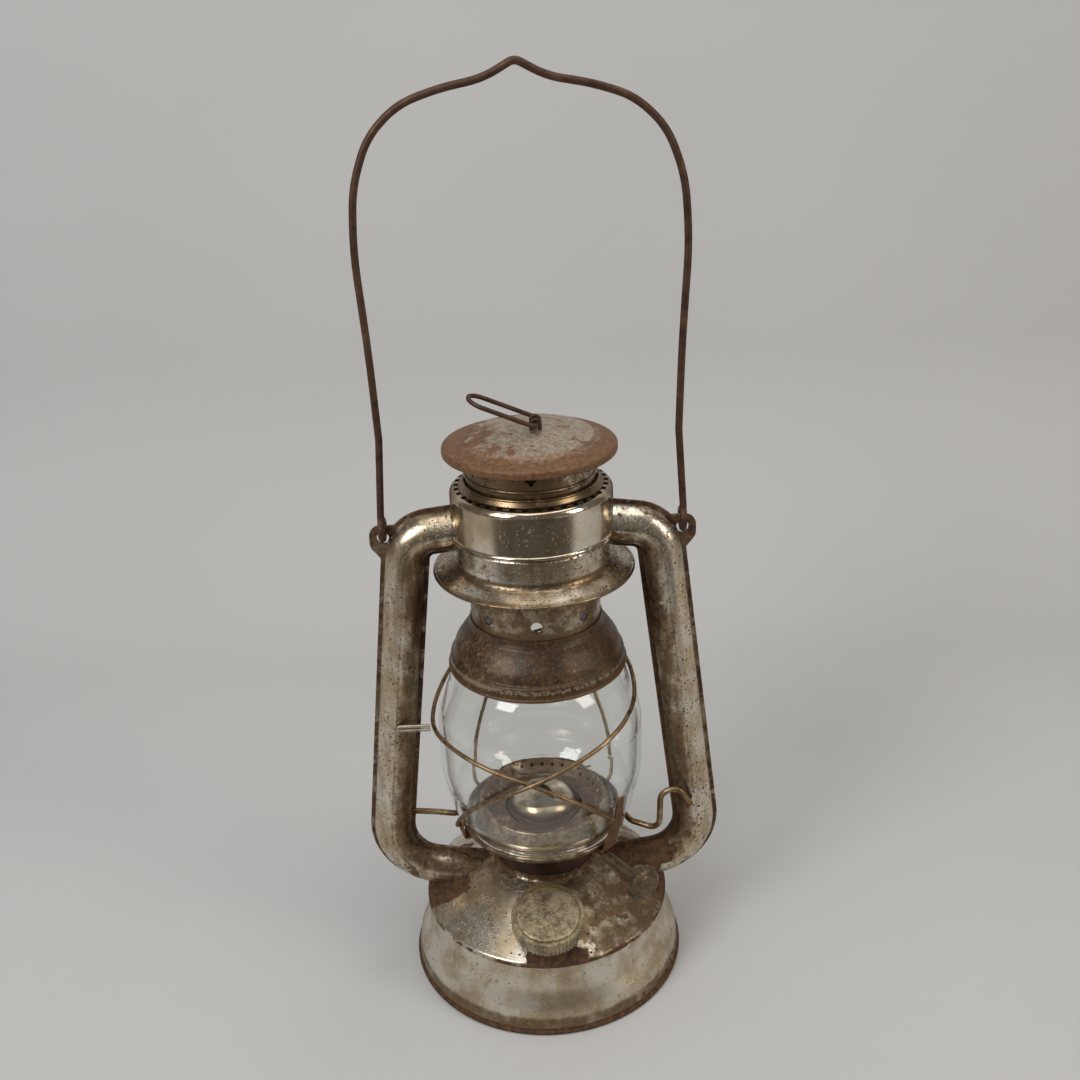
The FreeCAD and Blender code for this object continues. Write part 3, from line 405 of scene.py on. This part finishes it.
def foot_rust(finish):
    """Rust on the rolled foot, on the flare above it and under the dome's seam."""
    z = finish.z
    right = finish.x.rise(20, 55) * 0.20
    flare = z.rise(10.5, 4.0) * (right + 0.30)
    return z.below(FOOT_RIM_Z, 0.6) * 2.2 + flare + z.above(WALL_TOP_Z, 1.0) * 0.22


def foot_dirt_and_painted_highlight(finish):
    """Dirt over the foot and under the dome's seam, and a painted highlight along the roll above
    the foot.
    """
    z = finish.z
    # Painted highlight: a lighter band along the roll, cut out of the dirt
    bright = z.near(WALL_ROLL_Z, 5.0, 0.6) * 0.45
    return z.below(WALL_DIRT_Z, 1.5) * 0.50 + z.rise(27.0, 31.0) * 0.18 - bright - 0.04


def dome_rust(finish):
    """Rust round the tubes' feet, below the filler cap and on the right slope."""
    x, y, z = finish.x, finish.y, finish.z
    side = (x * x + y * y * 0.6).rise(900, 1500) * (y * y).rise(500, 120) * 0.9
    below_cap = x.near(3.0, 230, 40) * y.rise(-45, -50) * 1.4
    neck = z.above(NECK_FOOT_Z, 1.5) * 0.5
    right = (x - y * 0.2).rise(14, 40) * 0.17
    seam = z.below(DOME_SEAM_Z, 0.6) * 0.45
    return side.greater(below_cap).greater(neck).greater(right).greater(seam)


def dome_grime(finish):
    """Blotched dirt on the right slope, and dirt round the neck and at the left tube."""
    x, y, z = finish.x, finish.y, finish.z
    right = (x - y * 0.1).rise(6, 24) * (finish.blotches(6, 1.5) + 0.46)
    neck = z.rise(43.0, 49.0) * 0.35
    left = (x + 46).rise(8, -4) * 0.3
    return right.greater(neck).greater(left)


def crown_rust(finish):
    """Rust along the seam and where the tubes meet the crown."""
    sides = (finish.x * finish.x).rise(840, 1010) * 0.8
    seam = finish.z.near(CROWN_SEAM_Z, 1.2, 0.2) * 0.35
    top = finish.z.above(CROWN_TOP_Z, 0.5) * 0.30
    return sides.greater(seam).greater(top)


def crown_dirt_and_painted_shade(finish):
    """Painted shade in the dark hollow round the neck, and dirt in the seams and at the tubes.
    """
    inside = finish.radius().below(CROWN_RECESS_RADIUS, 0.6)
    # Painted shade: the hollow round the neck is painted dark
    painted_recess_shade = inside * finish.z.rise(221.0, 223.5) * 1.2
    seam = finish.z.near(CROWN_SEAM_DIRT_Z, 3.0, 0.5) * 0.45
    sides = (finish.x * finish.x).rise(560, 960) * 0.45
    return painted_recess_shade.greater(seam).greater(sides)


def bell_grime(finish):
    """Dirt in the fold, over it, at the tubes and along the brim's edge, and darker under the
    brim.
    """
    x, z, radius = finish.x, finish.z, finish.radius()
    fold = z.near(BELL_FOLD_Z, 5.0, 0.5) * 0.5
    upper = z.rise(195.5, 199.0) * 0.26
    edge = radius.above(BRIM_EDGE_RADIUS, 0.5) * 0.5
    under = z.below(BRIM_Z, 0.5) * radius.rise(39.6, 38.6) * 0.5
    sides = (x * x).rise(700, 1100) * 0.3
    return fold.greater(upper).greater(edge).greater(under).greater(sides)


def flue_stain_and_painted_shade(finish):
    """Heat stain all over the flue, painted shadow on the left of the neck under the hood, and
    painted shade at the flue's foot where it meets the cap.
    """
    # Painted shadow on the left of the neck, under the hood
    painted_shadow_under_hood = finish.z.rise(226.0, 230.0) * (finish.x - 2.0).rise(11.0, 6.0)
    # Painted shade at the flue's foot, where it meets the cap
    low = finish.z.below(FLUE_FOOT_Z, 2.5) * 0.45
    return finish.blotches(5, 2.6) + 0.34 + painted_shadow_under_hood * 0.8 + low


def tube_side(finish):
    """Millimetres outside the tubes' centre line, less than 0 on the globe's side."""
    z = finish.z
    across = finish.x.size()
    side = (across - TUBE_TOP_X - (TUBE_TOP_Z - z) * TUBE_SIDE_LEAN) * TUBE_SIDE_COSINE
    top = (z - TUBE_TOP_Z + (across - TUBE_TOP_X) * TUBE_TOP_LEAN) * TUBE_TOP_COSINE
    low = (TUBE_LOW_Z - z + (across - TUBE_LOW_X) * TUBE_LOW_LEAN) * TUBE_LOW_COSINE
    bend = z.above(TUBE_MIDDLE_Z, 0.5) * (TUBE_TOP_BEND - TUBE_LOW_BEND) + TUBE_LOW_BEND
    beside = side + bend
    beyond = top.greater(low) + bend
    one = beside.greater(0.0)
    two = beyond.greater(0.0)
    corner = (one * one + two * two).root()
    return corner + beside.greater(beyond).lesser(0.0) - bend


def tube_rust(finish):
    """Rust along the seams, in the lower bend and on the right tube's inner side."""
    inner = tube_side(finish).rise(0.5, -4.0)
    right = finish.x.rise(-10.0, 10.0)
    seam = finish.y.near(0.0, 1.6, 0.4) * 0.42
    low = finish.z.rise(66, 44) * (inner * 0.22 + 0.16 + right * 0.16)
    joint = finish.z.rise(206, 210) * 0.2
    return seam.greater(low).greater(joint) + inner * (right * 0.20 + 0.05)


def tube_seams_and_painted_reflection(finish):
    """Painted reflections: golden brown on the side towards the globe and a dark line down the
    middle. Painted shade along the outer edge, and dirt along the seams.
    """
    side = tube_side(finish)
    # Painted reflection of the lantern's body on the side towards the globe
    inner = side.rise(1.2, -2.5) * 0.46
    # Painted reflection: a dark line down the middle
    line = side.near(0.0, 0.9, 0.05) * 0.32
    # Painted shade along the outer edge
    painted_edge_shade = side.rise(6.8, 8.4) * 0.3
    seam = finish.y.near(0.0, 1.6, 0.4) * 0.5
    return inner.greater(line).greater(painted_edge_shade).greater(seam) - 0.02


tin_wall = tinned("tin_wall", rust=0.25, speckle=0.60, warmth=0.54, gloss=0.30, streaks=0.25,
                  rust_where=foot_rust, grime_and_painted_light_where=foot_dirt_and_painted_highlight)
tin_dome = tinned("tin_dome", rust=0.40, speckle=0.95, warmth=0.55, gloss=0.24, streaks=0.5,
                  rust_where=dome_rust, grime_and_painted_light_where=dome_grime)
tin_crown = tinned("tin_crown", rust=0.26, speckle=0.35, warmth=0.42, gloss=0.10, streaks=0.35,
                   rust_where=crown_rust, grime_and_painted_light_where=crown_dirt_and_painted_shade)
tin_bell = tinned("tin_bell", rust=0.39, speckle=1.05, warmth=0.55, gloss=0.18, streaks=0.4,
                  grime_and_painted_light_where=bell_grime)
tin_flue = tinned("tin_flue", rust=0.50, speckle=1.0, warmth=1.0, gloss=0.22,
                  grime_and_painted_light_where=flue_stain_and_painted_shade)
tin_tube = tinned("tin_tube", rust=0.39, speckle=1.0, warmth=0.5, gloss=0.22, streaks=0.7,
                  rust_where=tube_rust, grime_and_painted_light_where=tube_seams_and_painted_reflection)
rust_wire = rusty("rust_wire", dark=(0.030, 0.014, 0.009), middle=(0.078, 0.037, 0.021),
                  light=(0.135, 0.068, 0.038), shine=0.45)
rust_strap = rusty("rust_strap", dark=(0.06, 0.028, 0.012), middle=(0.135, 0.062, 0.023),
                   light=(0.24, 0.115, 0.038), shine=0.3, size=3)
dark_steel = plain("dark_steel", (0.062, 0.040, 0.025), metallic=0.55, roughness=0.55)
# Very dark rusted steel, its darkness partly painted shade under the globe plate
drum_rust_and_painted_shade = rusty("drum_rust_and_painted_shade", dark=(0.018, 0.010, 0.006), middle=(0.045, 0.023, 0.012),
                   light=(0.115, 0.056, 0.026), shine=0.4, size=9)
knob_steel = rusty("knob_steel", dark=(0.055, 0.037, 0.020), middle=(0.125, 0.088, 0.052),
                   light=(0.24, 0.185, 0.12), shine=0.8, size=3)
tan_wire = rusty("tan_wire", dark=(0.085, 0.042, 0.018), middle=(0.24, 0.155, 0.078),
                 light=(0.48, 0.40, 0.27), shine=1.0, size=5)
bright_wire = rusty("bright_wire", dark=(0.18, 0.14, 0.09), middle=(0.42, 0.36, 0.27),
                    light=(0.68, 0.64, 0.55), shine=1.0, size=5)
cotton = plain("cotton", (0.55, 0.50, 0.40), metallic=0.0, roughness=0.9)
cork = plain("cork", (0.32, 0.20, 0.11), metallic=0.0, roughness=0.85)

wear("tank_shell", finish=tin_wall)
wear("tank_bottom", "filler_neck", "tank_top", finish=tin_dome)
wear("crown_top", "crown_sleeve", finish=tin_crown)
wear("crown_bell", finish=tin_bell)
wear("chimney_tube", finish=tin_flue)
wear("left_tube_front", "left_tube_rear", "right_tube_front", "right_tube_rear", finish=tin_tube)
wear("globe_cap", finish=old_globe_cap())
wear("hood", finish=old_hood())
wear("bail", "hood_ring", "ring_staple", finish=rust_wire)
wear("globe_plate", finish=old_plate())
wear("plate_catch", "guard_lug", finish=rust_strap)
wear("air_chamber", finish=drum_rust_and_painted_shade)
wear("burner_collar", "burner_plug", "burner_basket", "wick_tube", "wheel_housing",
     "spur_wheel_inner", "spur_wheel_outer", "chimney_spring", finish=dark_steel)
wear("burner_cone", finish=old_burner_cone())
wear("wick_shaft", "wick_knob", finish=knob_steel)
wear("filler_cap", finish=old_filler_cap())
wear("guard_wire_left", "guard_wire_right", "lift_lever", finish=tan_wire)
wear("tube_guide", finish=bright_wire)
wear("wick", finish=cotton)
wear("cap_gasket", finish=cork)
wear("globe_glass", finish=glass())


# Camera, stage and lights

CAMERA_PLACE = (0, -0.4361, 0.3924)
CAMERA_LENS = 40.05
CAMERA_DIP = 23.77
CAMERA_TURN = -0.36
CAMERA_ROLL = -2.13

SHEET_HALF_WIDTH = 2.2
FLOOR_FRONT_Y = -1.6
WALL_FOOT_Y = 0.42
WALL_RISE = (0, 0.25, 2.2)
SHEET_BEND = 0.16

LAMP_AIM = (0, 0, 0.12)
LAMPS = [
    # name, place, aim, size, watts, colour
    ("window_left", (-0.75, -0.75, 0.85), LAMP_AIM, (0.5, 0.8), 9.5, (0.97, 0.985, 1.0)),
    ("window_right", (0.95, -0.5, 0.6), LAMP_AIM, (0.35, 0.7), 4.5, (1.0, 0.93, 0.84)),
    ("ceiling", (0.1, -0.1, 1.35), (0, 0.05, 0), (1.2, 1.0), 7.5, (1.0, 0.99, 0.97)),
]
ROOM_COLOUR = (0.50, 0.47, 0.44, 1)
ROOM_STRENGTH = 0.30


def add_camera():
    """The photograph's view: a little above the lantern, looking down at it."""
    data = bpy.data.cameras.new("photo_camera")
    data.sensor_width = 36
    data.lens = CAMERA_LENS
    camera = bpy.data.objects.new("photo_camera", data)
    bpy.context.scene.collection.objects.link(camera)
    aim = Euler((radians(90 - CAMERA_DIP), 0, radians(CAMERA_TURN))).to_matrix()
    roll = Euler((0, 0, radians(CAMERA_ROLL))).to_matrix()
    camera.location = CAMERA_PLACE
    camera.rotation_euler = (aim @ roll).to_euler()
    bpy.context.scene.camera = camera


def backdrop_cloth():
    """Pale cloth. The metal sees it dark in front, where the photographer stood."""
    finish = Finish("backdrop_cloth")
    folds = finish.noise(260, 2, 0.4)
    cloth = finish.blend(folds, (0.46, 0.46, 0.455), (0.52, 0.515, 0.51))
    seen = finish.node("ShaderNodeLightPath", {}, {}, "Is Camera Ray")
    front = finish.radius().rise(360, 420) * finish.y.rise(-240, -320)
    front = front * finish.x.size().rise(520, 440)
    finish.set(Base_Color=finish.blend(front * (1 - seen), cloth, (0.045, 0.040, 0.034)),
               Roughness=0.95)
    return finish


def add_backdrop():
    """Pale sheet that runs from the floor up the wall behind."""
    bpy.ops.mesh.primitive_plane_add(size=2, location=(0, 0, 0))
    sheet = bpy.context.object
    sheet.name = "backdrop"
    sheet.data.transform(sheet.matrix_world)
    sheet.matrix_world.identity()
    bpy.ops.object.mode_set(mode="EDIT")
    bpy.ops.mesh.select_all(action="DESELECT")
    bpy.ops.object.mode_set(mode="OBJECT")
    for vertex in sheet.data.vertices:
        vertex.co.x *= SHEET_HALF_WIDTH
        vertex.co.y = WALL_FOOT_Y if vertex.co.y > 0 else FLOOR_FRONT_Y
        vertex.select = vertex.co.y > 0
    for edge in sheet.data.edges:
        edge.select = all(sheet.data.vertices[index].co.y > 0 for index in edge.vertices)
    bpy.ops.object.mode_set(mode="EDIT")
    bpy.ops.mesh.extrude_region_move(TRANSFORM_OT_translate={"value": WALL_RISE})
    bpy.ops.object.mode_set(mode="OBJECT")
    bend = sheet.modifiers.new("bend", "BEVEL")
    bend.width = SHEET_BEND
    bend.segments = 12
    bend.limit_method = "ANGLE"
    bpy.ops.object.modifier_apply(modifier="bend")
    bpy.ops.object.shade_smooth()
    sheet.data.materials.append(backdrop_cloth().material)


def add_softbox(name, place, aim, size, power, colour):
    """Square lamp turned from its place to a point."""
    data = bpy.data.lights.new(name, "AREA")
    data.shape = "RECTANGLE"
    data.size, data.size_y = size
    data.energy = power
    data.color = colour
    lamp = bpy.data.objects.new(name, data)
    bpy.context.scene.collection.objects.link(lamp)
    lamp.location = place
    away = Vector([start - end for start, end in zip(place, aim)])
    lamp.rotation_euler = away.to_track_quat("Z", "Y").to_euler()


def add_room():
    """Dim room that the metal reflects."""
    world = bpy.data.worlds.new("room")
    world.use_nodes = True
    background = world.node_tree.nodes["Background"]
    background.inputs["Color"].default_value = ROOM_COLOUR
    background.inputs["Strength"].default_value = ROOM_STRENGTH
    bpy.context.scene.world = world


add_camera()
add_backdrop()
for lamp_row in LAMPS:
    add_softbox(*lamp_row)
add_room()
bpy.context.scene.view_settings.view_transform = "Standard"
